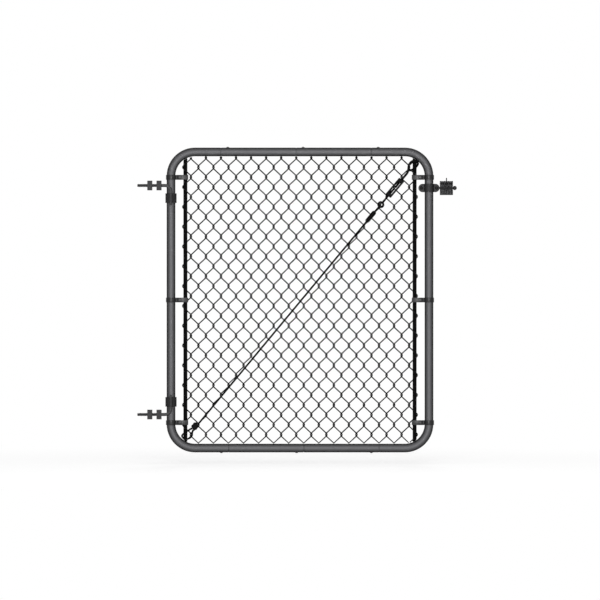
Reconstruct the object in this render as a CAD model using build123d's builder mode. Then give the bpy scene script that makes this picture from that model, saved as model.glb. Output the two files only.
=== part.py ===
"""Chain link gate: tubular leaf, woven wire, hinges, gravity latch and a truss cable.

The origin lies on the lower hinge bolt's axis, on the flat face that its near block
turns to the post. X runs from the hinges to the latch, Y away from the viewer, Z up.
Lengths are in millimetres. Leaf points are (across, up, front) from the leaf's centre.
"""

import os
from math import cos, radians, sin, sqrt

from build123d import *

os.makedirs("parts", exist_ok=True)

# driving dimensions
GATE_WIDTH = 1066.8
GATE_HEIGHT = 1219.2
TUBE_OD = 34.925
TUBE_WALL = 1.5
CORNER_RADIUS = 96.0
HINGE_SPREAD = 914.4
PIN_FROM_POST = 56.5
PIN_TO_LEAF = 29.0
WIRE_D = 3.05
DIAMOND_HEIGHT = 79.2
PICKETS = 31

# clearances
SLEEVE_GAP = 0.15
STRAP_GAP = 0.15
PIN_GAP = 0.08
WIRE_GAP = 0.3
SEAT_GAP = 0.2

# frame tubes
TUBE_R = TUBE_OD / 2
STILE_X = (GATE_WIDTH - TUBE_OD) / 2
RAIL_Z = (GATE_HEIGHT - TUBE_OD) / 2
LEAF_X = PIN_FROM_POST + STILE_X
LEAF_Z = HINGE_SPREAD / 2
JOINTS = (-314.4, -13.9, 286.6)
SPIGOT_R = TUBE_R - TUBE_WALL - SLEEVE_GAP
SPIGOT_LENGTH = 45.0
NECK_LENGTH = 4.0

# tension bars and bands
BAR_WIDTH = 15.9
BAR_THICK = 4.8
BAR_LENGTH = 1108.0
BAR_X = STILE_X - 57.5
BAND_HEIGHT = 19.0
BAND_THICK = 2.7
BAND_LEVELS = (490.5, 0.0, -490.5)
BAND_BOLT_X = 35.0
BAND_BOLT_HOLE = 8.6

# woven wire
BAR_LOOP_X = BAR_X + BAR_WIDTH / 2 + WIRE_D / 2 + SEAT_GAP
EDGE_COLUMN_X = 466.55
COLUMN_PITCH = 2 * EDGE_COLUMN_X / PICKETS
WIRE_PLANE = 4.5
BAND_HALF_GAP = WIRE_PLANE + WIRE_D / 2 + SEAT_GAP
BEND_HEIGHT = 13.0
BEND_SIDE = (WIRE_D + WIRE_GAP) / 2
MESH_CORNER_R = CORNER_RADIUS - TUBE_R - SEAT_GAP - WIRE_D / 2
MESH_DROP = 3.4

# hinges
ROD_R = 6.35
ROD_BEND = 24.0
ROD_TIP_X = -77.0
PIN_LEG = 78.0
BLOCK_SIZE = 38.0
BLOCK_THICK = 19.2
FAR_BLOCK_X = -36.8
CLAMP_DROP = 50.0
CLAMP_HEIGHT = 38.0
CLAMP_THICK = 4.8
CLAMP_SLIT = 5.0
CLAMP_EAR = 22.0
CLAMP_BOLT_HOLE = 8.6

# latch
LATCH_RISE = 448.0
LATCH_STRAP = 3.0
LATCH_PLATE_LENGTH = 84.4
LATCH_PLATE_HEIGHT = 33.2
LATCH_PLATE_GAP = 6.0
LATCH_BOLT_X = 30.8
LATCH_BOLT_HOLE = 8.6
STRIKE_R = 4.75
STRIKE_END_X = 96.0
STRIKE_BALL_R = 8.5
STRIKE_BALL_X = 102.8
HOUSING_WIDTH = 51.2
HOUSING_HEIGHT = 55.6
HOUSING_FRONT = 21.0
HOUSING_BACK = 19.0
HOUSING_PLATE = 4.0
EAR_PLATE = 3.0
THROAT_HALF = 7.0
THROAT_BACK = 7.0
PIVOT_Y = 7.0
PIVOT_Z = 17.8
PIVOT_R = 3.0
CATCH_THICK = 4.0

# truss cable and turnbuckle
TRUSS_ANGLE = radians(50.04)
TRUSS_FOOT = (-432.2, -520.0)
TRUSS_FRONT = 16.0
CABLE_R = 2.75
STRAND_OFFSET = CABLE_R + 0.05
FERRULE_START = 1087.0
FERRULE_LENGTH = 52.0
FERRULE_WIDTH = 15.0
EYE_S = 1175.8
EYE_R = 9.75
EYE_WIRE_R = 3.75
SHANK_R = 3.75
BODY_START = 1220.6
BODY_LENGTH = 85.4
BODY_WIDTH = 24.0
BODY_THICK = 11.0
BODY_WINDOW = 55.0
CLIP_S = 21.0
CLIP_LENGTH = 22.0
CLIP_WIDTH = 26.0
CLIP_THICK = 14.0

LEAF = Plane(origin=(LEAF_X, PIN_TO_LEAF, LEAF_Z), x_dir=(1, 0, 0), z_dir=(0, -1, 0))


def leaf_point(across, up, front=0.0):
    """A point given from the leaf's centre: across, up and toward the viewer."""
    return Vector(LEAF_X + across, PIN_TO_LEAF - front, LEAF_Z + up)


def truss_point(along, front=TRUSS_FRONT, side=0.0):
    """A point on the truss line, by its distance from the foot of the line."""
    across = TRUSS_FOOT[0] + along * cos(TRUSS_ANGLE) - side * sin(TRUSS_ANGLE)
    up = TRUSS_FOOT[1] + along * sin(TRUSS_ANGLE) + side * cos(TRUSS_ANGLE)
    return leaf_point(across, up, front)


# frame: six steel tubes, each pushed into the next
def spigot_section(straight):
    """Half wall of a tube along local X, drawn down to a spigot past its straight."""
    neck = straight + NECK_LENGTH
    tip = neck + SPIGOT_LENGTH
    return [
        (0, TUBE_R),
        (straight, TUBE_R),
        (neck, SPIGOT_R),
        (tip, SPIGOT_R),
        (tip, SPIGOT_R - TUBE_WALL),
        (neck, SPIGOT_R - TUBE_WALL),
        (straight, TUBE_R - TUBE_WALL),
        (0, TUBE_R - TUBE_WALL),
    ]


def straight_tube(mouth, spigot, up):
    """A straight tube from its open mouth to the joint that its spigot enters."""
    heading = 1 if spigot > mouth else -1
    run = Plane(origin=leaf_point(mouth, up), x_dir=(heading, 0, 0), z_dir=(0, -heading, 0))
    with BuildPart() as tube:
        with BuildSketch(run):
            with BuildLine():
                Polyline(*spigot_section(abs(spigot - mouth) - NECK_LENGTH), close=True)
            make_face()
        revolve(axis=Axis(run.origin, run.x_dir))
    return tube.part


def side_tube(hand):
    """A stile bent at both ends into rail stubs: one open, one drawn down to a spigot."""
    joint = hand * JOINTS[0]
    bend_start = joint - 2 * hand * NECK_LENGTH
    corner = -hand * STILE_X
    spigot = straight_tube(bend_start, joint, hand * RAIL_Z)
    with BuildPart() as side:
        with BuildLine(LEAF) as route:
            FilletPolyline(
                (bend_start, hand * RAIL_Z),
                (corner, hand * RAIL_Z),
                (corner, -hand * RAIL_Z),
                (-hand * JOINTS[2], -hand * RAIL_Z),
                radius=CORNER_RADIUS,
            )
        with BuildSketch(Plane(origin=route.wire() @ 0, z_dir=route.wire() % 0)):
            Circle(TUBE_R)
            Circle(TUBE_R - TUBE_WALL, mode=Mode.SUBTRACT)
        sweep()
        add(spigot)
    return side.part


frame_side_hinge = side_tube(1)
frame_side_hinge.label = "frame_side_hinge"
export_step(frame_side_hinge, "parts/frame_side_hinge.step")

frame_side_latch = side_tube(-1)
frame_side_latch.label = "frame_side_latch"
export_step(frame_side_latch, "parts/frame_side_latch.step")

RAILS = (
    ("top_rail_hinge_side", JOINTS[0], JOINTS[1], RAIL_Z),
    ("top_rail_latch_side", JOINTS[1], JOINTS[2], RAIL_Z),
    ("bottom_rail_latch_side", -JOINTS[0], -JOINTS[1], -RAIL_Z),
    ("bottom_rail_hinge_side", -JOINTS[1], -JOINTS[2], -RAIL_Z),
)
for name, mouth, spigot, up in RAILS:
    rail = straight_tube(mouth, spigot, up)
    rail.label = name
    export_step(rail, f"parts/{name}.step")


# tension bars: flat bars threaded through the edge loops of the wire
def tension_bar(hand):
    """One flat bar beside a stile; hand is -1 at the hinges and 1 at the latch."""
    with BuildPart() as bar:
        with BuildSketch(LEAF.offset(-BAR_THICK / 2)):
            with Locations((hand * BAR_X, 0)):
                RectangleRounded(BAR_WIDTH, BAR_LENGTH, BAR_WIDTH / 4)
        extrude(amount=BAR_THICK)
    return bar.part


# tension bands: straps round the stile whose leaves take the bar between them
def tension_band(hand, up):
    """One strap round a stile, with two flat leaves that reach over the bar."""
    outer = TUBE_R + STRAP_GAP + BAND_THICK
    reach = STILE_X - BAR_X + BAR_WIDTH / 2 + 1.2
    axis = leaf_point(hand * STILE_X, up)
    plan = Plane(origin=axis, x_dir=(-hand, 0, 0), z_dir=(0, 0, 1))
    with BuildPart() as band:
        with BuildSketch(plan) as strap:
            Circle(outer)
            Rectangle(reach, 2 * (BAND_HALF_GAP + BAND_THICK), align=(Align.MIN, Align.CENTER))
            pinch = strap.vertices().sort_by_distance(axis)[:2]
            fillet(pinch, BAND_THICK * 2)
            Circle(TUBE_R + STRAP_GAP, mode=Mode.SUBTRACT)
            Rectangle(
                reach, 2 * BAND_HALF_GAP, align=(Align.MIN, Align.CENTER), mode=Mode.SUBTRACT
            )
        extrude(amount=BAND_HEIGHT / 2, both=True)
        with BuildSketch(Plane(origin=axis, x_dir=(-hand, 0, 0), z_dir=(0, 1, 0))):
            with Locations((BAND_BOLT_X, 0)):
                Circle(BAND_BOLT_HOLE / 2)
        extrude(amount=outer, both=True, mode=Mode.SUBTRACT)
    return band.part


for side, hand in (("hinge", -1), ("latch", 1)):
    bar = tension_bar(hand)
    bar.label = f"tension_bar_{side}"
    export_step(bar, f"parts/tension_bar_{side}.step")
    for place, up in zip(("upper", "middle", "lower"), BAND_LEVELS):
        band = tension_band(hand, up)
        band.label = f"tension_band_{side}_{place}"
        export_step(band, f"parts/tension_band_{side}_{place}.step")


# woven wire: flattened helices, each hooked through the bends of the one before
def bend_points(x, level, right):
    """Upper and lower point of one bend, where the wire passes between its two planes."""
    half = BEND_HEIGHT / 2
    front = WIRE_PLANE if right else -WIRE_PLANE
    return [(x, level + half, front), (x, level - half, -front)]


def mesh_limit(reach):
    """How far up a picket can run inside the frame, by its widest point across."""
    overhang = max(0.0, reach - STILE_X + CORNER_RADIUS)
    return RAIL_Z - CORNER_RADIUS + sqrt(MESH_CORNER_R**2 - overhang**2)


def cut_at(a, b, level):
    """The point between a and b at the given height."""
    share = (a[1] - level) / (a[1] - b[1])
    return tuple(p + share * (q - p) for p, q in zip(a, b))


def picket_points(column):
    """The wire's corners from the top rail to the bottom rail, for one picket."""
    left = (column - 1) * COLUMN_PITCH - EDGE_COLUMN_X + COLUMN_PITCH - BEND_SIDE
    right = column * COLUMN_PITCH - EDGE_COLUMN_X + COLUMN_PITCH + BEND_SIDE
    if column == 0:
        left = -BAR_LOOP_X
    if column == PICKETS - 1:
        right = BAR_LOOP_X
    top = RAIL_Z - TUBE_R - MESH_DROP - 0.5
    points = []
    for step in range(30):
        level = top - step * DIAMOND_HEIGHT / 2
        on_right = (step + column) % 2 == 0
        points += bend_points(right if on_right else left, level, on_right)
    limit = mesh_limit(max(abs(left), abs(right)))
    inside = [p for p in points if abs(p[1]) < limit]
    first = points.index(inside[0])
    last = points.index(inside[-1])
    head = [cut_at(points[first - 1], points[first], limit)] if first else []
    tail = [cut_at(points[last], points[last + 1], -limit)] if last + 1 < len(points) else []
    return head + inside + tail


def picket(column):
    """One zigzag wire of the fabric."""
    corners = [leaf_point(*p) for p in picket_points(column)]
    with BuildPart() as wire:
        with BuildLine() as route:
            Polyline(*corners)
        with BuildSketch(Plane(origin=route.wire() @ 0, z_dir=route.wire() % 0)):
            RegularPolygon(WIRE_D / 2, 3)
        sweep(transition=Transition.RIGHT)
    return wire.part


even_picket = picket(2)
odd_picket = picket(1)


def fabric_half(columns):
    """The pickets of the given columns, side by side as separate wires."""
    wires = []
    for column in columns:
        if column in (0, PICKETS - 1):
            wires.append(picket(column))
            continue
        pattern, start = (odd_picket, 1) if column % 2 else (even_picket, 2)
        wires.append(Pos((column - start) * COLUMN_PITCH, 0, 0) * pattern)
    return Compound(children=wires)


for name, columns in (
    ("fabric_hinge_half", range(0, 16)),
    ("fabric_latch_half", range(16, PICKETS)),
):
    half = fabric_half(columns)
    half.label = name
    export_step(half, f"parts/{name}.step")


# hinge bolts: bent rods whose upright legs are the hinge pins
def hinge_bolt(up, turn):
    """A bolt across the post line, bent so that its leg points up or down."""
    with BuildPart() as bolt:
        with BuildLine() as route:
            FilletPolyline(
                (ROD_TIP_X, 0, up),
                (PIN_FROM_POST, 0, up),
                (PIN_FROM_POST, 0, up + turn * PIN_LEG),
                radius=ROD_BEND,
            )
        with BuildSketch(Plane(origin=route.wire() @ 0, z_dir=route.wire() % 0)):
            Circle(ROD_R)
        sweep()
    return bolt.part


def hinge_block(start, up):
    """A square block on the bolt, with flat faces for the post or bracket."""
    with BuildPart() as block:
        with BuildSketch(Plane(origin=(start, 0, up), z_dir=(1, 0, 0))):
            RectangleRounded(BLOCK_SIZE, BLOCK_SIZE, 3)
            Circle(ROD_R + PIN_GAP, mode=Mode.SUBTRACT)
        extrude(amount=BLOCK_THICK)
    return block.part


def hinge_clamp(middle):
    """A strap in a figure of eight: round the stile, round the pin, with two bolted ears."""
    strap_r = TUBE_R + STRAP_GAP + CLAMP_THICK
    eye_r = ROD_R + PIN_GAP + CLAMP_THICK * 0.8
    plan = Plane(origin=(PIN_FROM_POST, 0, middle), z_dir=(0, 0, 1))
    ear_end = PIN_TO_LEAF + strap_r + CLAMP_EAR
    with BuildPart() as clamp:
        with BuildSketch(plan):
            Circle(eye_r)
            with Locations((0, PIN_TO_LEAF)):
                Circle(strap_r)
                Rectangle(
                    CLAMP_SLIT + 2 * CLAMP_THICK,
                    strap_r + CLAMP_EAR,
                    align=(Align.CENTER, Align.MIN),
                )
                Circle(TUBE_R + STRAP_GAP, mode=Mode.SUBTRACT)
                Rectangle(
                    CLAMP_SLIT,
                    strap_r + CLAMP_EAR,
                    align=(Align.CENTER, Align.MIN),
                    mode=Mode.SUBTRACT,
                )
            Circle(ROD_R + PIN_GAP, mode=Mode.SUBTRACT)
        extrude(amount=CLAMP_HEIGHT / 2, both=True)
        bolt_plane = Plane(
            origin=(PIN_FROM_POST, ear_end - CLAMP_EAR / 2, middle), z_dir=(1, 0, 0)
        )
        with BuildSketch(bolt_plane):
            Circle(CLAMP_BOLT_HOLE / 2)
        extrude(amount=strap_r, both=True, mode=Mode.SUBTRACT)
    return clamp.part


for place, up, turn in (("upper", HINGE_SPREAD, -1), ("lower", 0.0, 1)):
    bolt = hinge_bolt(up, turn)
    bolt.label = f"hinge_bolt_{place}"
    export_step(bolt, f"parts/hinge_bolt_{place}.step")
    for which, start in (("near", 0.0), ("far", FAR_BLOCK_X)):
        block = hinge_block(start, up)
        block.label = f"hinge_block_{place}_{which}"
        export_step(block, f"parts/hinge_block_{place}_{which}.step")
    clamp = hinge_clamp(up + turn * CLAMP_DROP)
    clamp.label = f"hinge_clamp_{place}"
    export_step(clamp, f"parts/hinge_clamp_{place}.step")


# latch on the leaf: two plates round the stile and a strike rod between them
LATCH_AXIS = leaf_point(STILE_X, LATCH_RISE)
LATCH_FACE = Plane(origin=LATCH_AXIS, x_dir=(1, 0, 0), z_dir=(0, -1, 0))


def latch_plate(front):
    """A plate bent half round the stile, with a rounded wing and bolt hole on each side."""
    inner = TUBE_R + STRAP_GAP
    wing_y = front * (LATCH_PLATE_GAP + LATCH_STRAP) / 2
    with BuildPart() as plate:
        with BuildSketch(Plane(origin=LATCH_AXIS, z_dir=(0, 0, 1))):
            Circle(inner + LATCH_STRAP)
            with Locations((0, -wing_y)):
                Rectangle(LATCH_PLATE_LENGTH, LATCH_STRAP)
            Circle(inner, mode=Mode.SUBTRACT)
            with Locations((0, front * (inner + LATCH_STRAP - LATCH_PLATE_GAP / 2))):
                Rectangle(
                    LATCH_PLATE_LENGTH, 2 * (inner + LATCH_STRAP), mode=Mode.SUBTRACT
                )
        extrude(amount=LATCH_PLATE_HEIGHT / 2, both=True)
        with BuildSketch(LATCH_FACE):
            SlotOverall(LATCH_PLATE_LENGTH, LATCH_PLATE_HEIGHT)
        extrude(amount=2 * inner, both=True, mode=Mode.INTERSECT)
        with BuildSketch(LATCH_FACE):
            with Locations((-LATCH_BOLT_X, 0), (LATCH_BOLT_X, 0)):
                Circle(LATCH_BOLT_HOLE / 2)
        extrude(amount=2 * inner, both=True, mode=Mode.SUBTRACT)
    return plate.part


for place, front in (("front", 1), ("back", -1)):
    plate = latch_plate(front)
    plate.label = f"latch_plate_{place}"
    export_step(plate, f"parts/latch_plate_{place}.step")

with BuildPart() as latch_strike:
    with BuildSketch(LATCH_FACE):
        with Locations((LATCH_BOLT_X, 0)):
            RectangleRounded(18, 20, 4)
            Rectangle(18, 9.4, align=(Align.MIN, Align.CENTER))
            Circle(LATCH_BOLT_HOLE / 2, mode=Mode.SUBTRACT)
    extrude(amount=LATCH_PLATE_GAP / 2 - SEAT_GAP, both=True)
    with BuildSketch(Plane(origin=LATCH_AXIS, z_dir=(1, 0, 0)).offset(LATCH_PLATE_LENGTH / 2 + 0.5)):
        Circle(STRIKE_R)
    extrude(amount=STRIKE_END_X - LATCH_PLATE_LENGTH / 2)
    with Locations(LATCH_AXIS + Vector(STRIKE_BALL_X, 0, 0)):
        Sphere(STRIKE_BALL_R)
latch_strike.part.label = "latch_strike"
export_step(latch_strike.part, "parts/latch_strike.step")

# latch on the post: a housing of four notched plates on a back plate
HOUSING_START = LATCH_PLATE_LENGTH / 2 + 1.8
PLATE_STARTS = (
    (0.0, HOUSING_PLATE),
    (16.4, EAR_PLATE),
    (32.2, EAR_PLATE),
    (HOUSING_WIDTH - HOUSING_PLATE, HOUSING_PLATE),
)
CATCH_START = HOUSING_START + (16.4 + EAR_PLATE + 32.2) / 2 - CATCH_THICK / 2


def latch_section(across, back=0.0, up=0.0):
    """The upright plane across the latch, with its origin given from the stile's axis."""
    origin = LATCH_AXIS + Vector(across, back, up)
    return Plane(origin=origin, x_dir=(0, 1, 0), z_dir=(1, 0, 0))


with BuildPart() as latch_housing:
    for start, thick in PLATE_STARTS:
        with BuildSketch(latch_section(HOUSING_START + start)):
            with Locations(((HOUSING_BACK - HOUSING_FRONT) / 2, 0)):
                RectangleRounded(HOUSING_BACK + HOUSING_FRONT, HOUSING_HEIGHT, 3)
            with Locations((THROAT_BACK, 0)):
                Rectangle(
                    HOUSING_FRONT + THROAT_BACK,
                    2 * THROAT_HALF,
                    align=(Align.MAX, Align.CENTER),
                    mode=Mode.SUBTRACT,
                )
            with Locations((PIVOT_Y, PIVOT_Z)):
                Circle(PIVOT_R + PIN_GAP, mode=Mode.SUBTRACT)
        extrude(amount=thick)
    with BuildSketch(latch_section(HOUSING_START)):
        with Locations((HOUSING_BACK - HOUSING_PLATE, 0)):
            Rectangle(HOUSING_PLATE, HOUSING_HEIGHT, align=(Align.MIN, Align.CENTER))
    extrude(amount=HOUSING_WIDTH)
latch_housing.part.label = "latch_housing"
export_step(latch_housing.part, "parts/latch_housing.step")

with BuildPart() as latch_pivot_pin:
    with BuildSketch(latch_section(HOUSING_START - 1)):
        with Locations((PIVOT_Y, PIVOT_Z)):
            Circle(PIVOT_R)
    extrude(amount=HOUSING_WIDTH + 2)
latch_pivot_pin.part.label = "latch_pivot_pin"
export_step(latch_pivot_pin.part, "parts/latch_pivot_pin.step")

with BuildPart() as latch_catch:
    with BuildSketch(latch_section(CATCH_START, PIVOT_Y, PIVOT_Z)):
        Circle(8)
        with BuildLine():
            Polyline(
                (0, 8),
                (-2, 8),
                (-11, 22.2),
                (-17, 22.2),
                (-13, 6),
                (-26, -6),
                (-24, -16),
                (-18, -30),
                (-14.25, -30),
                (-14.25, -11),
                (0, -8),
                close=True,
            )
        make_face()
        Circle(PIVOT_R + PIN_GAP, mode=Mode.SUBTRACT)
    extrude(amount=CATCH_THICK)
latch_catch.part.label = "latch_catch"
export_step(latch_catch.part, "parts/latch_catch.step")


# truss: a cable pulled tight between the bars by a turnbuckle
def truss_plane(along):
    """The plane across the truss line; its local X points to the viewer."""
    line = truss_point(1) - truss_point(0)
    return Plane(origin=truss_point(along), x_dir=(0, -1, 0), z_dir=line)


ALONG = truss_point(1) - truss_point(0)
TRUSS_FACE = Plane(origin=truss_point(0), x_dir=ALONG, z_dir=(0, -1, 0))


with BuildPart() as truss_cable:
    low, high = TRUSS_FRONT - STRAND_OFFSET, TRUSS_FRONT + STRAND_OFFSET
    ring_wire = EYE_S - EYE_R
    wide = EYE_WIRE_R + CABLE_R + SEAT_GAP
    ferrule_end = FERRULE_START + FERRULE_LENGTH + 2
    with BuildLine() as route:
        Line(truss_point(FERRULE_START - 4, low), truss_point(ferrule_end, low))
        Spline(
            truss_point(ferrule_end, low),
            truss_point(ring_wire, TRUSS_FRONT - wide),
            tangents=(ALONG, ALONG),
        )
        ThreePointArc(
            truss_point(ring_wire, TRUSS_FRONT - wide),
            truss_point(ring_wire + wide, TRUSS_FRONT),
            truss_point(ring_wire, TRUSS_FRONT + wide),
        )
        Spline(
            truss_point(ring_wire, TRUSS_FRONT + wide),
            truss_point(ferrule_end, high),
            tangents=(-ALONG, -ALONG),
        )
        Line(truss_point(ferrule_end, high), truss_point(FERRULE_START - 4, high))
        Line(truss_point(FERRULE_START - 4, high), truss_point(36, high, -STRAND_OFFSET))
        Line(truss_point(36, high, -STRAND_OFFSET), truss_point(8, high, -STRAND_OFFSET))
        Spline(
            truss_point(8, high, -STRAND_OFFSET),
            leaf_point(-444, -544, 15.5),
            leaf_point(-460, -554, 11.5),
            leaf_point(-471.5, -545, 1.5),
            leaf_point(-462, -533, -9.5),
            leaf_point(-447, -522, -9),
            leaf_point(-437, -514.5, 3),
            truss_point(8, high, STRAND_OFFSET),
            tangents=(-ALONG, ALONG),
        )
        Line(truss_point(8, high, STRAND_OFFSET), truss_point(36, high, STRAND_OFFSET))
    with BuildSketch(Plane(origin=route.wire() @ 0, z_dir=route.wire() % 0)):
        Circle(CABLE_R)
    sweep(transition=Transition.ROUND)
truss_cable.part.label = "truss_cable"
export_step(truss_cable.part, "parts/truss_cable.step")

with BuildPart() as cable_ferrule:
    with BuildSketch(truss_plane(FERRULE_START)):
        Circle(FERRULE_WIDTH / 2)
        SlotOverall(4 * STRAND_OFFSET + 0.2, 2 * STRAND_OFFSET + 0.2, mode=Mode.SUBTRACT)
    extrude(amount=FERRULE_LENGTH)
cable_ferrule.part.label = "cable_ferrule"
export_step(cable_ferrule.part, "parts/cable_ferrule.step")

with BuildPart() as cable_clip:
    with BuildSketch(truss_plane(CLIP_S - CLIP_LENGTH / 2)):
        with Locations((STRAND_OFFSET, 0)):
            RectangleRounded(CLIP_THICK, CLIP_WIDTH, 3)
            SlotOverall(
                4 * STRAND_OFFSET + 0.2, 2 * STRAND_OFFSET + 0.2, rotation=90, mode=Mode.SUBTRACT
            )
    extrude(amount=CLIP_LENGTH)
cable_clip.part.label = "cable_clip"
export_step(cable_clip.part, "parts/cable_clip.step")

with BuildPart(Plane(origin=truss_point(EYE_S), x_dir=ALONG, z_dir=(0, -1, 0))) as turnbuckle_eye:
    Torus(EYE_R, EYE_WIRE_R)
    with BuildSketch(truss_plane(EYE_S + EYE_R)):
        Circle(SHANK_R)
    extrude(amount=BODY_START + 32 - EYE_S - EYE_R)
turnbuckle_eye.part.label = "turnbuckle_eye"
export_step(turnbuckle_eye.part, "parts/turnbuckle_eye.step")

with BuildPart() as turnbuckle_body:
    with BuildSketch(TRUSS_FACE):
        with Locations((BODY_START + BODY_LENGTH / 2, 0)):
            RectangleRounded(BODY_LENGTH, BODY_WIDTH, 5)
            RectangleRounded(BODY_WINDOW, BODY_WIDTH / 2, 3, mode=Mode.SUBTRACT)
    extrude(amount=BODY_THICK / 2, both=True)
    with BuildSketch(truss_plane(BODY_START - 1)):
        Circle(SHANK_R + PIN_GAP)
    extrude(amount=BODY_LENGTH + 2, mode=Mode.SUBTRACT)
turnbuckle_body.part.label = "turnbuckle_body"
export_step(turnbuckle_body.part, "parts/turnbuckle_body.step")

with BuildPart() as turnbuckle_hook:
    with BuildLine() as route:
        Line(truss_point(BODY_START + 53), truss_point(1330))
        Spline(
            truss_point(1330),
            leaf_point(433, 522, 16),
            leaf_point(440, 545, 15.5),
            leaf_point(452, 556, 13.5),
            leaf_point(464, 553, 10.5),
            leaf_point(471.3, 543, 1),
            leaf_point(464, 528, -9.5),
            leaf_point(448, 514, -9),
            tangents=(ALONG, Vector(-10, 3, -8)),
        )
    with BuildSketch(Plane(origin=route.wire() @ 0, z_dir=route.wire() % 0)):
        Circle(SHANK_R)
    sweep()
turnbuckle_hook.part.label = "turnbuckle_hook"
export_step(turnbuckle_hook.part, "parts/turnbuckle_hook.step")
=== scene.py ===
"""Chain link gate, dressed for display: coated tubes, woven wire, hinges, latch and truss cable.

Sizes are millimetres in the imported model's frame: X from the hinges to the latch, Y away from the
viewer, Z up. Leaf points are given as (across, up, front) from the leaf's centre. Shapes turn into
metres when they are made.
"""

from __future__ import annotations

import logging
from dataclasses import dataclass, field
from enum import Enum
from functools import reduce
from math import ceil, cos, pi, radians, sin, sqrt
from typing import Callable, Sequence

import bpy
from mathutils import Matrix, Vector

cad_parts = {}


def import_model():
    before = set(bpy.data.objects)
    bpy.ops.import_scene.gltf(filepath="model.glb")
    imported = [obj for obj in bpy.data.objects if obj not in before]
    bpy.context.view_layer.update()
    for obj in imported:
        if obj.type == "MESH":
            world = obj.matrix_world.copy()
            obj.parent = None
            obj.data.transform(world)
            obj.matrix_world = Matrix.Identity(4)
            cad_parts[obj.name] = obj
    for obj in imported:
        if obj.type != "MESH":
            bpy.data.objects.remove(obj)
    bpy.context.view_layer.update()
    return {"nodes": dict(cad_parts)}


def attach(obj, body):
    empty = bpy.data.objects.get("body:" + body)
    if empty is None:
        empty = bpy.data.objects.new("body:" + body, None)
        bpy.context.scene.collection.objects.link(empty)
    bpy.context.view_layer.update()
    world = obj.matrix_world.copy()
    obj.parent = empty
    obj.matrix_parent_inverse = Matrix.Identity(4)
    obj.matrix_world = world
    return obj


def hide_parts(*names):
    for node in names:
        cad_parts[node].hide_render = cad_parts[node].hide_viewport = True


log = logging.getLogger("gate")

Pair = tuple[float, float]
Triple = tuple[float, float, float]
Ring = Callable[[float], Pair]
Line = Sequence[Vector]
Socket = bpy.types.NodeSocket
Values = dict | None

MM = 0.001
LEAF_CENTRE = Vector((572.4375, 29.0, 457.2))
STILE_X = 515.9375
RAIL_Z = 592.1375
BAR_X = 458.4375
TUBE_R = 17.4625
CORNER_RADIUS = 96.0
BOLT_PITCH = 1.4
BOLT_STEP = 0.25
TO_THE_TIP = 999.0  # a thread that ends here runs on to the bar's tip
RIGHT, BACK, UP = Vector((1, 0, 0)), Vector((0, 1, 0)), Vector((0, 0, 1))
WHITE = (1.0, 1.0, 1.0, 1.0)
BLACK = (0.0, 0.0, 0.0, 1.0)
DUST = (0.2, 0.19, 0.17, 1.0)
COLOUR_SOCKETS = ("colour", "dark", "light", "speck", "bare")


class Body(Enum):
    """The bodies that new pieces ride on."""

    POST = "post_hardware"
    LEAF = "leaf"


class Slot(Enum):
    """The record's material slots."""

    POWDER_COAT = "powder_coat"
    BLACK_STEEL = "black_steel"
    COATED_WIRE = "coated_wire"
    LATCH_STEEL = "latch_steel"
    PIN_STEEL = "pin_steel"
    CABLE_STEEL = "cable_steel"


def leaf_point(across: float, up: float, front: float = 0.0) -> Vector:
    """The model's point at a place that is given from the leaf's centre."""
    return LEAF_CENTRE + Vector((across, -front, up))


# shapes


def angles(count: int) -> list[float]:
    """Evenly spaced angles round a circle."""
    return [2 * pi * step / count for step in range(count)]


def run(a: Vector, b: Vector, spacing: float) -> list[Vector]:
    """Evenly spaced points from a to b, both ends included."""
    spans = max(1, ceil((b - a).length / spacing))
    return [a.lerp(b, step / spans) for step in range(spans + 1)]


def length_of(path: Line) -> float:
    """The length of a path."""
    return sum((b - a).length for a, b in zip(path, path[1:]))


def aside(axis: Vector) -> Vector:
    """A direction that is well away from an axis."""
    return UP if abs(axis.z) < 0.9 else RIGHT


def steady_frames(path: Line) -> list[tuple[Vector, Vector]]:
    """Directions square to a path that turn as little as they can.

    Args:
        path: its points.

    Returns:
        Two unit vectors for each point.
    """
    last = len(path) - 1
    tangents = [(path[min(i + 1, last)] - path[max(i - 1, 0)]).normalized() for i in range(last + 1)]
    side = tangents[0].cross(aside(tangents[0])).normalized()
    frames = []
    for tangent in tangents:
        side = (side - tangent * side.dot(tangent)).normalized()
        frames.append((side, tangent.cross(side)))
    return frames


def rounded(path: Line, reach: float) -> list[Vector]:
    """A path whose corners are replaced by short smooth bends.

    Args:
        path: its corner points.
        reach: how far from each corner its bend begins.

    Returns:
        The smoothed path's points.
    """
    points = [path[0]]
    for before, corner, after in zip(path, path[1:], path[2:]):
        ways = (before - corner, after - corner)
        start, end = (corner + way.normalized() * min(reach, way.length * 0.45) for way in ways)
        for t in (0.0, 0.25, 0.5, 0.75, 1.0):
            points.append(start * (1 - t) ** 2 + corner * 2 * t * (1 - t) + end * t * t)
    return [*points, path[-1]]


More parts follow.
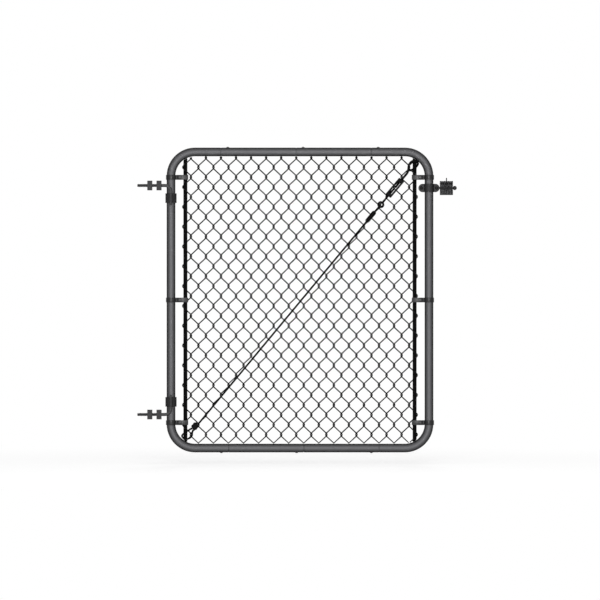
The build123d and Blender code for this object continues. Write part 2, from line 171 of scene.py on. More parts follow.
def through(points: Line, start: Vector, end: Vector, spacing: float = 1.5) -> list[Vector]:
    """A smooth line through points, with set directions at its two ends.

    Args:
        points: the points that the line passes.
        start: its direction at the first one.
        end: its direction at the last one.
        spacing: the rough distance from point to point.

    Returns:
        The line's points.
    """
    slopes = [start.normalized() * (points[1] - points[0]).length]
    for before, here, after in zip(points, points[1:], points[2:]):
        first, second = (here - before).length, (after - here).length
        slope = ((here - before) / first * second + (after - here) / second * first) / (first + second)
        slopes.append(slope * (first + second) / 2)
    slopes.append(end.normalized() * (points[-1] - points[-2]).length)
    line = [points[0]]
    for a, b, leaving, coming in zip(points, points[1:], slopes, slopes[1:]):
        spans = max(2, ceil((b - a).length / spacing))
        for step in range(1, spans + 1):
            t = step / spans
            place = a * (2 * t**3 - 3 * t**2 + 1) + leaving * (t**3 - 2 * t**2 + t)
            line.append(place + b * (3 * t**2 - 2 * t**3) + coming * (t**3 - t**2))
    return line


def rounded_box(length: float, width: float, corner: float) -> list[Pair]:
    """A rectangle with rounded corners, anticlockwise round its middle.

    Args:
        length: its size along the first axis.
        width: its size along the second axis.
        corner: its corners' radius.

    Returns:
        The outline's points.
    """
    outline = []
    for quarter, (right, up) in enumerate(((1, 1), (-1, 1), (-1, -1), (1, -1))):
        x, y = (length / 2 - corner) * right, (width / 2 - corner) * up
        for step in range(5):
            angle = pi / 2 * quarter + pi / 8 * step
            outline.append((x + corner * cos(angle), y + corner * sin(angle)))
    return outline


def drawn_in(outline: Sequence[Pair], inset: float) -> list[Pair]:
    """An outline moved inward by a set distance all round.

    Args:
        outline: its corners, anticlockwise.
        inset: how far each side moves.

    Returns:
        The new corners.
    """
    moved = []
    for index, (x, y) in enumerate(outline):
        (ax, ay), (bx, by) = outline[index - 1], outline[(index + 1) % len(outline)]
        first = Vector((y - ay, ax - x)).normalized()
        way = (first + Vector((by - y, x - bx)).normalized()).normalized()
        shift = way * (-inset / max(0.3, way.dot(first)))
        moved.append((x + shift.x, y + shift.y))
    return moved


@dataclass(frozen=True)
class Plane:
    """Where a flat outline lies: its origin and the directions of its two axes."""

    origin: Vector
    along: Vector
    across: Vector


@dataclass
class Shape:
    """The points and faces of one piece, in millimetres, before they become a mesh."""

    points: list[Vector] = field(default_factory=list)
    faces: list[tuple[int, ...]] = field(default_factory=list)

    def skin(self, rings: Sequence[Line], closed: bool = False) -> None:
        """Covers a row of rings with faces.

        Args:
            rings: loops of points, all of one length.
            closed: whether the last ring joins the first instead of end faces.
        """
        first, count = len(self.points), len(rings[0])
        for ring in rings:
            self.points.extend(ring)
        for index in range(len(rings) if closed else len(rings) - 1):
            low = first + index * count
            high = first + (index + 1) % len(rings) * count
            for j in range(count):
                k = (j + 1) % count
                self.faces.append((low + j, low + k, high + k, high + j))
        if not closed:
            last = first + (len(rings) - 1) * count
            self.faces.append(tuple(range(first + count - 1, first - 1, -1)))
            self.faces.append(tuple(range(last, last + count)))

    def sweep(self, path: Line, section: Callable[[float, float], float], sides: int) -> None:
        """A section carried along a path.

        Args:
            path: its centre line.
            section: the radius by distance along the path and by angle.
            sides: how many points go round it.
        """
        rings, distance = [], 0.0
        for index, (point, (side, up)) in enumerate(zip(path, steady_frames(path))):
            if index:
                distance += (point - path[index - 1]).length
            spokes = ((a, side * cos(a) + up * sin(a)) for a in angles(sides))
            rings.append([point + spoke * section(distance, a) for a, spoke in spokes])
        self.skin(rings)

    def spin(self, origin: Vector, axis: Vector, rings: Sequence[Ring], sides: int, closed: bool) -> None:
        """Rings round an axis, such as a nut's or a bolt head's.

        Args:
            origin: where the axis starts.
            axis: its direction.
            rings: for each ring, distance along the axis and radius, by angle.
            sides: how many points go round it.
            closed: whether a hole runs along the axis.
        """
        axis = axis.normalized()
        side = aside(axis).cross(axis).normalized()
        up = axis.cross(side)
        spokes = [(angle, side * cos(angle) + up * sin(angle)) for angle in angles(sides)]
        loops = []
        for ring in rings:
            places = ((ring(angle), spoke) for angle, spoke in spokes)
            loops.append([origin + axis * along + spoke * radius for (along, radius), spoke in places])
        self.skin(loops, closed)

    def turned(self, origin: Vector, axis: Vector, profile: Sequence[Pair], closed: bool = False) -> None:
        """A round piece from pairs of distance along its axis and radius."""
        self.spin(origin, axis, [lambda _, pair=pair: pair for pair in profile], 32, closed)

    def nut(self, origin: Vector, axis: Vector, flats: float, height: float, hole: float) -> None:
        """A six-sided nut with chamfered corners.

        Args:
            origin: the middle of its seat.
            axis: the way that it stands.
            flats: its width across the flats.
            height: its height.
            hole: its hole's radius.
        """
        rim = flats / 2 * 0.96

        def reach(angle: float) -> float:
            """How far the side lies from the axis."""
            return flats / 2 / cos(angle % (pi / 3) - pi / 6)

        def bevel(angle: float) -> float:
            """How much of the height the chamfer takes."""
            return (reach(angle) - rim) * 0.55

        rings = [
            lambda _: (height * 0.1, hole),
            lambda _: (0, hole + 0.4),
            lambda _: (0, rim),
            lambda a: (bevel(a), reach(a)),
            lambda a: (height - bevel(a), reach(a)),
            lambda _: (height, rim),
            lambda _: (height, hole + 0.4),
            lambda _: (height * 0.9, hole),
        ]
        self.spin(origin, axis, rings, 48, True)

    def washer(self, origin: Vector, axis: Vector, outer: float, thick: float, hole: float = 3.9) -> None:
        """A flat washer with softened edges.

        Args:
            origin: the middle of its seat.
            axis: the way that it stands.
            outer: its outer radius.
            thick: its thickness.
            hole: its hole's radius.
        """
        soft = thick * 0.2
        lower = ((0, hole), (0, outer - soft), (soft, outer))
        upper = ((thick - soft, outer), (thick, outer - soft), (thick, hole))
        self.turned(origin, axis, lower + upper, True)

    def thread(
        self, path: Line, radius: float, pitch: float, spans: Sequence[Pair], sides: int = 24
    ) -> None:
        """A round bar that carries a helical thread on parts of its length.

        Args:
            path: its centre line, in steps that are small beside the pitch.
            radius: its radius.
            pitch: the distance from one turn to the next.
            spans: where each threaded part starts and ends along the path.
            sides: how many points go round it.
        """
        total = length_of(path)

        def section(distance: float, angle: float) -> float:
            """The radius at one point of the bar.

            Args:
                distance: how far along the bar the point lies.
                angle: where it lies round the bar.

            Returns:
                The radius there.
            """
            tip = min(1.0, 0.72 + min(distance, total - distance) / (radius * 0.55) * 0.28)
            for start, end in spans:
                if start <= distance <= end:
                    phase = (distance / pitch - angle / (2 * pi)) % 1.0
                    depth = min(1.0, (distance - start) / pitch, (end - distance) / pitch)
                    return (radius - pitch * 0.5 * depth * (1 - abs(2 * phase - 1))) * tip
            return radius * tip

        self.sweep(path, section, sides)

    def plate(self, plane: Plane, outline: Sequence[Pair], thick: float, soft: float) -> None:
        """A flat piece cut to an outline, with softened edges.

        Args:
            plane: where the outline lies.
            outline: its corners, anticlockwise.
            thick: how far it stands up from there.
            soft: how wide its softened edges are.
        """
        along, across = plane.along, plane.across
        up = along.cross(across).normalized()
        rings = []
        for height, inset in ((0, soft), (soft, 0), (thick - soft, 0), (thick, soft)):
            flat = drawn_in(outline, inset)
            rings.append([plane.origin + along * x + across * y + up * height for x, y in flat])
        self.skin(rings)

    def slab(self, plane: Plane, length: float, width: float, thick: float) -> None:
        """A flat block with rounded corners and softened edges that stands on a plane."""
        outline = rounded_box(length, width, min(length, width) * 0.22)
        self.plate(plane, outline, thick, thick * 0.18)

    def strap(self, path: Line, height: float, thick: float) -> None:
        """A flat strip bent along a level path, with softened edges.

        Args:
            path: its middle line.
            height: its height.
            thick: its thickness.
        """
        section = rounded_box(thick, height, 0.5)
        rings = []
        for index, point in enumerate(path):
            ahead = path[min(index + 1, len(path) - 1)] - path[max(index - 1, 0)]
            out = Vector((ahead.y, -ahead.x, 0)).normalized()
            rings.append([point + out * x + UP * z for x, z in section])
        self.skin(rings)

    def made(self, name: str, sharp: float = 35.0) -> bpy.types.Object:
        """Turns the shape into an object in metres.

        Args:
            name: the object's name.
            sharp: edges that turn by more degrees than this stay sharp.

        Returns:
            The new object, linked to the scene.
        """
        mesh = bpy.data.meshes.new(name)
        mesh.from_pydata([p * MM for p in self.points], [], self.faces)
        mesh.validate()
        mesh.update()
        mesh.shade_smooth()
        mesh.set_sharp_from_angle(angle=radians(sharp))
        piece = bpy.data.objects.new(name, mesh)
        bpy.context.scene.collection.objects.link(piece)
        return piece


# finishes


class Wiring:
    """Adds nodes to one tree and joins their sockets."""

    def __init__(self, tree: bpy.types.NodeTree) -> None:
        """Starts on a tree that may hold nodes already."""
        self.tree = tree

    @classmethod
    def cleared(cls, owner: bpy.types.Material | bpy.types.World) -> Wiring:
        """Starts on an emptied tree.

        Args:
            owner: the material or world that the tree belongs to.

        Returns:
            The wiring of its tree.
        """
        owner.use_nodes = True
        owner.node_tree.nodes.clear()
        return cls(owner.node_tree)

    def node(self, kind: str, values: Values = None, **settings: object) -> bpy.types.Node:
        """Adds one node.

        Args:
            kind: its type, without the ShaderNode prefix.
            values: for each input, its value or the socket that feeds it.
            settings: the node's own properties.

        Returns:
            The new node.
        """
        made = self.tree.nodes.new(kind if kind.startswith("Node") else f"ShaderNode{kind}")
        for key, value in settings.items():
            setattr(made, key, value)
        for key, value in (values or {}).items():
            if isinstance(value, Socket):
                self.tree.links.new(value, made.inputs[key])
            else:
                made.inputs[key].default_value = value
        return made

    def get(self, kind: str, values: Values = None, output: int | str = 0, **settings: object) -> Socket:
        """One output of a new node."""
        return self.node(kind, values, **settings).outputs[output]

    def maths(self, operation: str, *values: object) -> Socket:
        """The result of one Math node."""
        return self.get("Math", dict(enumerate(values)), operation=operation)

    def sum(self, a: object, b: object) -> Socket:
        """Two values added."""
        return self.maths("ADD", a, b)

    def times(self, a: object, *others: object) -> Socket:
        """Values multiplied in their order."""
        return reduce(lambda so_far, b: self.maths("MULTIPLY", so_far, b), others, a)

    def mixed(self, share: object, a: object, b: object) -> Socket:
        """Two colours mixed by a share from 0 to 1."""
        return self.get("Mix", {0: share, 6: a, 7: b}, 2, data_type="RGBA")

    def blend(self, share: Socket, a: Socket, b: Socket) -> Socket:
        """Two shaders mixed by a share from 0 to 1."""
        return self.get("MixShader", {0: share, 1: a, 2: b})

    def place(self) -> Socket:
        """The point's place in its object's own frame."""
        return self.get("TexCoord", output="Object")

    def noise(self, vector: object, scale: object, detail: float = 2.0, rough: float = 0.5) -> Socket:
        """A noise value from 0 to 1, scale in cycles a metre."""
        values = {"Vector": vector, "Scale": scale, "Detail": detail, "Roughness": rough}
        return self.get("TexNoise", values, "Fac")

    def eased(self, value: object, low: float, high: float) -> Socket:
        """A value turned into a mask that rises smoothly from low to high."""
        values = {"Value": value, "From Min": low, "From Max": high, "To Min": 0.0, "To Max": 1.0}
        return self.get("MapRange", values, "Result", interpolation_type="SMOOTHSTEP")

    def seen(self) -> Socket:
        """Tells what the camera sees, straight, mirrored or through clear pieces, from the rest.

        Returns:
            1 for such rays and 0 for all others.
        """
        rays = self.node("LightPath").outputs
        seen = self.maths("MAXIMUM", rays["Is Camera Ray"], rays["Is Transmission Ray"])
        return self.maths("MAXIMUM", seen, rays["Is Glossy Ray"])


Fill = Callable[[Wiring, bpy.types.bpy_prop_collection], dict[str, Socket]]


@dataclass(frozen=True)
class Effect:
    """A node group that several finishes share. Its inputs are named for the finish's fields."""

    name: str
    inputs: tuple[str, ...]
    outputs: tuple[str, ...]
    fill: Fill

    def tree(self) -> bpy.types.NodeTree:
        """The group, built the first time that it is asked for.

        Returns:
            The group's node tree.
        """
        if self.name in bpy.data.node_groups:
            return bpy.data.node_groups[self.name]
        tree = bpy.data.node_groups.new(self.name, "ShaderNodeTree")
        for direction, names in (("INPUT", self.inputs), ("OUTPUT", self.outputs)):
            for name in names:
                kind = "NodeSocketColor" if name in COLOUR_SOCKETS else "NodeSocketFloat"
                tree.interface.new_socket(name=name, in_out=direction, socket_type=kind)
        wiring = Wiring(tree)
        wiring.node("NodeGroupOutput", self.fill(wiring, wiring.node("NodeGroupInput").outputs))
        return tree

    def placed(self, wiring: Wiring, values: dict[str, object]) -> dict[str, object]:
        """Puts the group into a material and gives the values with the group's results among them."""
        own = {name: values[name] for name in self.inputs}
        return values | dict(wiring.node("Group", own, node_tree=self.tree()).outputs.items())


def fill_coat_grain(wiring: Wiring, given: bpy.types.bpy_prop_collection) -> dict[str, Socket]:
    """Fine grain and slow mottling of a coated or cast surface.

    Args:
        wiring: the group's tree.
        given: the group's inputs.

    Returns:
        Its results by name.
    """
    place = wiring.place()
    grain = wiring.noise(place, given["grain"], 3.0, 0.6)
    cloud = wiring.noise(place, given["cloud"], 4.0, 0.6)
    speck = wiring.eased(wiring.noise(place, given["grain"], 1.0, 0.4), 0.62, 0.78)
    tone = wiring.sum(wiring.times(grain, 0.6), wiring.times(cloud, 0.4))
    colour = wiring.mixed(wiring.eased(tone, 0.2, 0.8), given["dark"], given["light"])
    spread = wiring.times(wiring.maths("SUBTRACT", tone, 0.5), given["spread"])
    return {
        "colour": wiring.mixed(wiring.times(speck, given["specks"]), colour, given["speck"]),
        "roughness": wiring.sum(given["roughness"], spread),
        "height": wiring.sum(grain, wiring.times(cloud, 1.5)),
    }


def fill_edge_wear(wiring: Wiring, given: bpy.types.bpy_prop_collection) -> dict[str, Socket]:
    """Rubbed edges, found where a rounded normal leaves the real one, broken up by noise.

    Args:
        wiring: the group's tree.
        given: the group's inputs.

    Returns:
        Its results by name.
    """
    soft = wiring.get("Bevel", {"Radius": given["wear_width"]}, samples=6)
    hard = wiring.get("NewGeometry", output="Normal")
    same = wiring.get("VectorMath", {0: soft, 1: hard}, "Value", operation="DOT_PRODUCT")
    edge = wiring.eased(wiring.maths("SUBTRACT", 1.0, same), 0.01, 0.16)
    patchy = wiring.eased(wiring.noise(wiring.place(), 320.0, 4.0, 0.65), 0.38, 0.68)
    mask = wiring.times(edge, patchy, given["wear"])
    return {
        "colour": wiring.mixed(mask, given["colour"], given["bare"]),
        "roughness": wiring.sum(given["roughness"], wiring.times(mask, -0.18)),
    }


def fill_dust(wiring: Wiring, given: bpy.types.bpy_prop_collection) -> dict[str, Socket]:
    """Pale dust that settles on faces turned up, thinner where it was wiped.

    Args:
        wiring: the group's tree.
        given: the group's inputs.

    Returns:
        Its results by name.
    """
    facing = wiring.get("SeparateXYZ", {0: wiring.get("TexCoord", output="Normal")}, "Z")
    patchy = wiring.eased(wiring.noise(wiring.place(), 70.0, 5.0, 0.7), 0.3, 0.75)
    mask = wiring.times(wiring.eased(facing, 0.25, 0.98), patchy, given["dust"])
    return {
        "colour": wiring.mixed(mask, given["colour"], DUST),
        "roughness": wiring.sum(given["roughness"], wiring.times(mask, 0.3)),
    }


def fill_bend_marks(wiring: Wiring, _: bpy.types.bpy_prop_collection) -> dict[str, Socket]:
    """Fine stretch marks across the outer side of the frame's four bends.

    Args:
        wiring: the group's tree.
        _: the group's inputs, of which there are none.

    Returns:
        The height of the marks.
    """
    place = wiring.place()
    shift = tuple(-v * MM for v in LEAF_CENTRE)
    local = wiring.get("VectorMath", {0: place, 1: shift}, "Vector", operation="ADD")
    parts = wiring.node("SeparateXYZ", {0: local}).outputs
    edges = ((parts["X"], STILE_X), (parts["Z"], RAIL_Z))
    corner = [(wiring.maths("ABSOLUTE", part), (edge - CORNER_RADIUS) * MM) for part, edge in edges]
    across, up = (wiring.maths("SUBTRACT", *pair) for pair in corner)
    reach = wiring.maths("SQRT", wiring.sum(wiring.times(across, across), wiring.times(up, up)))
    outside = wiring.eased(reach, (CORNER_RADIUS - 4) * MM, (CORNER_RADIUS + 10) * MM)
    inside = wiring.times(wiring.eased(across, 0.0, 0.02), wiring.eased(up, 0.0, 0.02))
    wander = wiring.times(wiring.noise(place, 60.0), 0.05)
    angle = wiring.sum(wiring.maths("ARCTAN2", up, across), wander)
    ripple = wiring.maths("SINE", wiring.times(angle, 150.0))
    return {"marks": wiring.times(ripple, wiring.times(outside, inside))}


COAT = ("colour", "roughness")
COAT_GRAIN = Effect(
    "coat_grain",
    ("dark", "light", "speck", "specks", "grain", "cloud", "roughness", "spread"),
    (*COAT, "height"),
    fill_coat_grain,
)
EDGE_WEAR = Effect("edge_wear", (*COAT, "bare", "wear", "wear_width"), COAT, fill_edge_wear)
SETTLED_DUST = Effect("settled_dust", (*COAT, "dust"), COAT, fill_dust)
BEND_MARKS = Effect("bend_marks", (), ("marks",), fill_bend_marks)


@dataclass(frozen=True)
class Finish:
    """One surface finish: a coat with grain, worn edges and settled dust.

    A field sets painted edge shade: how far the base colour is mixed toward black where the surface turns
    away from the viewer, standing in for the shade at a round part's edges.
    """

    name: str
    dark: Triple
    light: Triple
    roughness: float = 0.5
    spread: float = 0.1
    specular: float = 0.3
    grain: float = 1600.0
    cloud: float = 40.0
    specks: float = 0.1
    speck: Triple = (0.2, 0.2, 0.21)
    relief: float = 0.00012
    wear: float = 0.1
    wear_width: float = 0.0009
    bare: Triple = (0.22, 0.21, 0.2)
    dust: float = 0.15
    # painted shade at glancing angles; 0 leaves the colour as it is
    painted_edge_shade: float = 0.0
    bend_marks: float = 0.0

    def material(self) -> bpy.types.Material:
        """The finish as a material, built the first time that it is asked for.

        Returns:
            The material.
        """
        if self.name in bpy.data.materials:
            return bpy.data.materials[self.name]
        made = bpy.data.materials.new(self.name)
        wiring = Wiring.cleared(made)
        coat: dict[str, object] = dict(vars(self))
        for name in ("dark", "light", "speck", "bare"):
            coat[name] = (*coat[name], 1.0)
        for effect in (COAT_GRAIN, EDGE_WEAR, SETTLED_DUST):
            coat = effect.placed(wiring, coat)
        bump = {"Height": coat["height"], "Distance": self.relief, "Strength": 0.6}
        if self.bend_marks:
            marks = BEND_MARKS.placed(wiring, coat)["marks"]
            bump = {"Normal": wiring.get("Bump", bump), "Height": marks, "Strength": 0.9}
            bump["Distance"] = self.bend_marks
        colour = coat["colour"]
        # painted shade: the base colour is mixed toward black where the surface turns away from the viewer
        if self.painted_edge_shade:
            turned = wiring.get("LayerWeight", {"Blend": 0.5}, "Facing")
            painted_shade_share = wiring.times(wiring.maths("POWER", turned, 0.5), self.painted_edge_shade)
            colour = wiring.mixed(painted_shade_share, colour, BLACK)
        values = {"Base Color": colour, "Roughness": coat["roughness"], "Normal": wiring.get("Bump", bump)}
        shader = wiring.get("BsdfPrincipled", values | {"Specular IOR Level": self.specular})
        wiring.node("OutputMaterial", {"Surface": shader})
        return made


# The powder, band, hardware and latch coats below darken their colour at glancing angles: painted edge
# shade.
POWDER_COAT = Finish(
    "powder_coat_charcoal", (0.142, 0.142, 0.149), (0.172, 0.172, 0.18), roughness=0.55, spread=0.2,
    specular=0.1, grain=1400.0, specks=0.3, relief=0.0001, wear=0.0, dust=0.05, painted_edge_shade=1.35,
    bend_marks=0.00026,
)
BAND_COAT = Finish(
    "band_coat_grey", (0.032, 0.032, 0.033), (0.045, 0.045, 0.046), roughness=0.3, spread=0.06,
    specular=0.13, grain=2200.0, relief=0.00003, wear=0.08, dust=0.06, painted_edge_shade=1.2,
)
HARDWARE_COAT = Finish(
    "hardware_coat_grey", (0.034, 0.034, 0.035), (0.052, 0.052, 0.054), specular=0.08, grain=2000.0,
    relief=0.00006, dust=0.06, painted_edge_shade=1.0,
)
LATCH_COAT = Finish(
    "latch_coat_dark", (0.03, 0.03, 0.031), (0.042, 0.042, 0.044), specular=0.08, grain=2000.0,
    relief=0.00005, wear=0.08, dust=0.06, painted_edge_shade=1.0,
)
PIN_COAT = Finish(
    "rod_steel_dark", (0.03, 0.03, 0.031), (0.05, 0.05, 0.052), roughness=0.42, spread=0.2, specular=0.2,
    grain=2600.0, specks=0.3, relief=0.00004,
)
BAR_COAT = Finish(
    "bar_paint_black", (0.001, 0.001, 0.001), (0.0022, 0.0022, 0.0022), roughness=0.68, specular=0.03,
    speck=(0.012, 0.012, 0.012), wear=0.05, bare=(0.02, 0.02, 0.02), dust=0.02,
)
WIRE_COAT = Finish(
    "wire_jacket_black", (0.0015, 0.0015, 0.0015), (0.003, 0.003, 0.003), specular=0.06,
    speck=(0.01, 0.01, 0.01), relief=0.00003, wear=0.0, dust=0.02,
)
CABLE_COAT = Finish(
    "cable_steel_black", (0.001, 0.001, 0.001), (0.0025, 0.0025, 0.0025), roughness=0.55, specular=0.05,
    speck=(0.01, 0.01, 0.01), relief=0.00004, wear=0.05, bare=(0.02, 0.02, 0.02), dust=0.02,
)
BOLT_COAT = Finish(
    "bolt_zinc_black", (0.006, 0.006, 0.006), (0.012, 0.012, 0.0125), roughness=0.45, spread=0.2,
    specular=0.06, grain=3000.0, relief=0.00003,
)


@dataclass(frozen=True)
class ThroughBolt:
    """A bolt through the leaf from its front, with washer and nut at the back."""

    head: tuple[Pair, ...]
    head_out: float
    reach: float
    plain: float
    washer_r: float
    flats: float
    radius: float = 3.9
    washer_thick: float = 1.2
    nut_height: float = 5.2

    def shape(self, across: float, up: float, out: float) -> Shape:
        """The bolt at one place on the leaf.

        Args:
            across: its place across the leaf.
            up: its height.
            out: how far the faces that it clamps stand from the leaf's middle.

        Returns:
            Its shape.
        """
        front, back = leaf_point(across, up, out), leaf_point(across, up, -out)
        shape = Shape()
        shape.turned(front - BACK * self.head_out, BACK, self.head)
        shank = run(front - BACK, back + BACK * self.reach, BOLT_STEP)
        shape.thread(shank, self.radius, BOLT_PITCH, [(self.plain, TO_THE_TIP)])
        shape.washer(back, BACK, self.washer_r, self.washer_thick, self.radius)
        seat = back + BACK * self.washer_thick
        shape.nut(seat, BACK, self.flats, self.nut_height, self.radius)
        return shape


@dataclass
class SubAssembly:
    """A group of pieces that is built and dressed together."""

    nodes: dict[str, bpy.types.Object]
    pieces: list[bpy.types.Object] = field(default_factory=list)

    def place(
        self, name: str, shape: Shape, finish: Finish, body: Body, slot: Slot,
        stands_for: Sequence[str] = (), sharp: float = 35.0,
    ) -> None:
        """Makes a new piece, dresses it and hands it to its body.

        Args:
            name: the piece's name.
            shape: its points and faces.
            finish: the finish that it gets.
            body: the body that it rides on.
            slot: the record's material slot; not used.
            stands_for: the model's nodes that it replaces.
            sharp: edges that turn by more degrees than this stay sharp.
        """
        piece = shape.made(name, sharp)
        piece.data.materials.append(finish.material())
        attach(piece, body.value)
        if stands_for:
            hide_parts(*stands_for)
        self.pieces.append(piece)

    def dress(self, starts: tuple[str, ...], finish: Finish) -> None:
        """Gives nodes of the model a finish on their material slots.

        Args:
            starts: how their names start.
            finish: the finish that they get.
        """
        for node in (self.nodes[name] for name in self.nodes if name.startswith(starts)):
            if not node.material_slots:
                node.data.materials.append(finish.material())
            for material_slot in node.material_slots:
                material_slot.material = finish.material()
            self.pieces.append(node)

    def report(self) -> None:
        """Logs each piece with its size."""
        for piece in self.pieces:
            log.info("%s: %s, %d faces", type(self).__name__, piece.name, len(piece.data.polygons))


@dataclass
class FrameTubes(SubAssembly):
    """The six frame tubes and the screws that hold their joints."""

    top_screws: tuple[float, ...] = (-289.0, 12.6, 313.0)
    bottom_screws: tuple[float, ...] = (-314.6, -13.8, 285.4)
    sunk: float = 0.9
    shank: tuple[Pair, ...] = ((-6, 1.2), (-5, 2.1), (0.2, 2.1))
    flange: tuple[Pair, ...] = ((0, 5.8), (0.3, 6.8), (1.3, 6.6), (1.7, 5.6))
    crown: tuple[Pair, ...] = ((1.3, 1.9), (2.8, 1.9))
    head_seat: float = 1.2
    head: Triple = (7.9, 2.6, 1.4)

    def screw(self, across: float, hand: int) -> Shape:
        """A hexagon washer-head screw on the outer side of a rail.

        Args:
            across: its place along the rail.
            hand: 1 on the top rail, -1 on the bottom rail.

        Returns:
            Its shape.
        """
        seat = leaf_point(across, hand * (RAIL_Z + TUBE_R - self.sunk))
        shape = Shape()
        for profile in (self.shank, self.flange, self.crown):
            shape.turned(seat, UP * hand, profile)
        shape.nut(seat + UP * hand * self.head_seat, UP * hand, *self.head)
        return shape

    def build(self) -> None:
        """Dresses the tubes and sets the screws."""
        self.dress(("frame_side", "top_rail", "bottom_rail"), POWDER_COAT)
        for rail, hand, places in (("top", 1, self.top_screws), ("bottom", -1, self.bottom_screws)):
            for number, across in enumerate(places, 1):
                name, screw = f"{rail}_rail_screw_{number}", self.screw(across, hand)
                self.place(name, screw, POWDER_COAT, Body.LEAF, Slot.POWDER_COAT)


@dataclass
class WovenFabric(SubAssembly):
    """The woven wire: flattened coils, each hooked through the bends of the one before."""

    wire_d: float = 5.0
    pickets: int = 31
    rows: int = 30
    edge_column: float = 466.5475
    diamond: float = 79.24
    plane: float = 5.1
    bend: float = 7.0
    bend_side: float = 2.65
    bend_reach: float = 4.0
    bar_loop: float = 469.1
    drop: float = 3.9
    seat: float = 0.15
    end_share: float = 0.62
    fold: tuple[Pair, ...] = ((-1.5, -4.7), (2.2, -4.8), (4.5, -3.5), (5.0, 0.0), (4.5, 3.5), (2.2, 4.8))
    fold_lean: float = 0.3
    sides: int = 10

    def inside(self, point: Vector, share: float = 1.0) -> bool:
        """Whether a wire at this point clears the frame's tubes and their bends.

        Args:
            point: the place, as (across, up, front).
            share: how much of the wire's radius has to clear a straight rail.

        Returns:
            True where the wire clears them.
        """
        reach = max(0.0, abs(point.x) - STILE_X + CORNER_RADIUS)
        clear = TUBE_R + self.seat + self.wire_d / 2 * (1.0 if reach else share)
        room = CORNER_RADIUS - sqrt(clear**2 - point.z**2)
        return abs(point.y) < RAIL_Z - CORNER_RADIUS + sqrt(room**2 - reach**2)

    def wire_end(self, outer: Vector, inner: Vector) -> list[Vector]:
        """The first point on the way from outer to inner that lies inside the frame, in a list."""
        steps = [outer.lerp(inner, n / 40) for n in range(1, 40)]
        return [point for point in steps if self.inside(point, self.end_share)][:1]

    def knuckle(self, bend: Vector) -> list[Vector]:
        """The end of a wire, folded over to the leaf's other face above its first bend.

        Args:
            bend: the bend's lower point, as (across, up, front).

        Returns:
            Such points from the tip inward.
        """
        hand = 1 if bend.z > 0 else -1
        lean = hand * self.fold_lean
        last = self.fold[-1][1]
        return [Vector((bend.x + lean * (last - z), bend.y + up, hand * z)) for up, z in self.fold]

    def corners(self, column: int) -> list[Vector]:
        """The corner points of one wire from top to bottom, as (across, up, front).

        Args:
            column: the wire's number, counted from the hinge side.

        Returns:
            The points, with a turned-over end where the wire starts in a bend below the top rail.
        """
        pitch = 2 * self.edge_column / self.pickets
        left, right = -self.bar_loop, self.bar_loop
        if column > 0:
            left = column * pitch - self.edge_column - self.bend_side
        if column < self.pickets - 1:
            right = (column + 1) * pitch - self.edge_column + self.bend_side
        points = []
        for step in range(self.rows):
            level = RAIL_Z - TUBE_R - self.drop - step * self.diamond / 2
            x, front = (left, -self.plane) if (step + column) % 2 else (right, self.plane)
            for hand in (1, -1):
                points.append(Vector((x, level + hand * self.bend / 2, hand * front)))
        kept = [i for i, p in enumerate(points) if self.inside(p)]
        first, last = kept[0], kept[-1]
        head = self.wire_end(points[first - 1], points[first])
        if first == 1 and abs(points[1].x) < STILE_X - CORNER_RADIUS:
            head = self.knuckle(points[1])
        return head + points[first : last + 1] + self.wire_end(points[last + 1], points[last])

    def wire(self, shape: Shape, column: int) -> None:
        """Adds one wire to a shape.

        Args:
            shape: the half of the fabric that it belongs to.
            column: the wire's number, counted from the hinge side.
        """
        path = rounded([leaf_point(*p) for p in self.corners(column)], self.bend_reach)
        radius, total = self.wire_d / 2, length_of(path)

        def section(distance: float, _: float) -> float:
            """The wire's radius, which tapers at its very ends."""
            return radius * min(1.0, 0.8 + min(distance, total - distance) / radius * 0.2)

        shape.sweep(path, section, self.sides)

    def build(self) -> None:
        """Builds both halves of the fabric."""
        for side, columns in (("hinge", range(16)), ("latch", range(16, self.pickets))):
            shape = Shape()
            for column in columns:
                self.wire(shape, column)
            name, stands_for = f"woven_wire_{side}_half", [f"fabric_{side}_half"]
            self.place(name, shape, WIRE_COAT, Body.LEAF, Slot.COATED_WIRE, stands_for, 80.0)


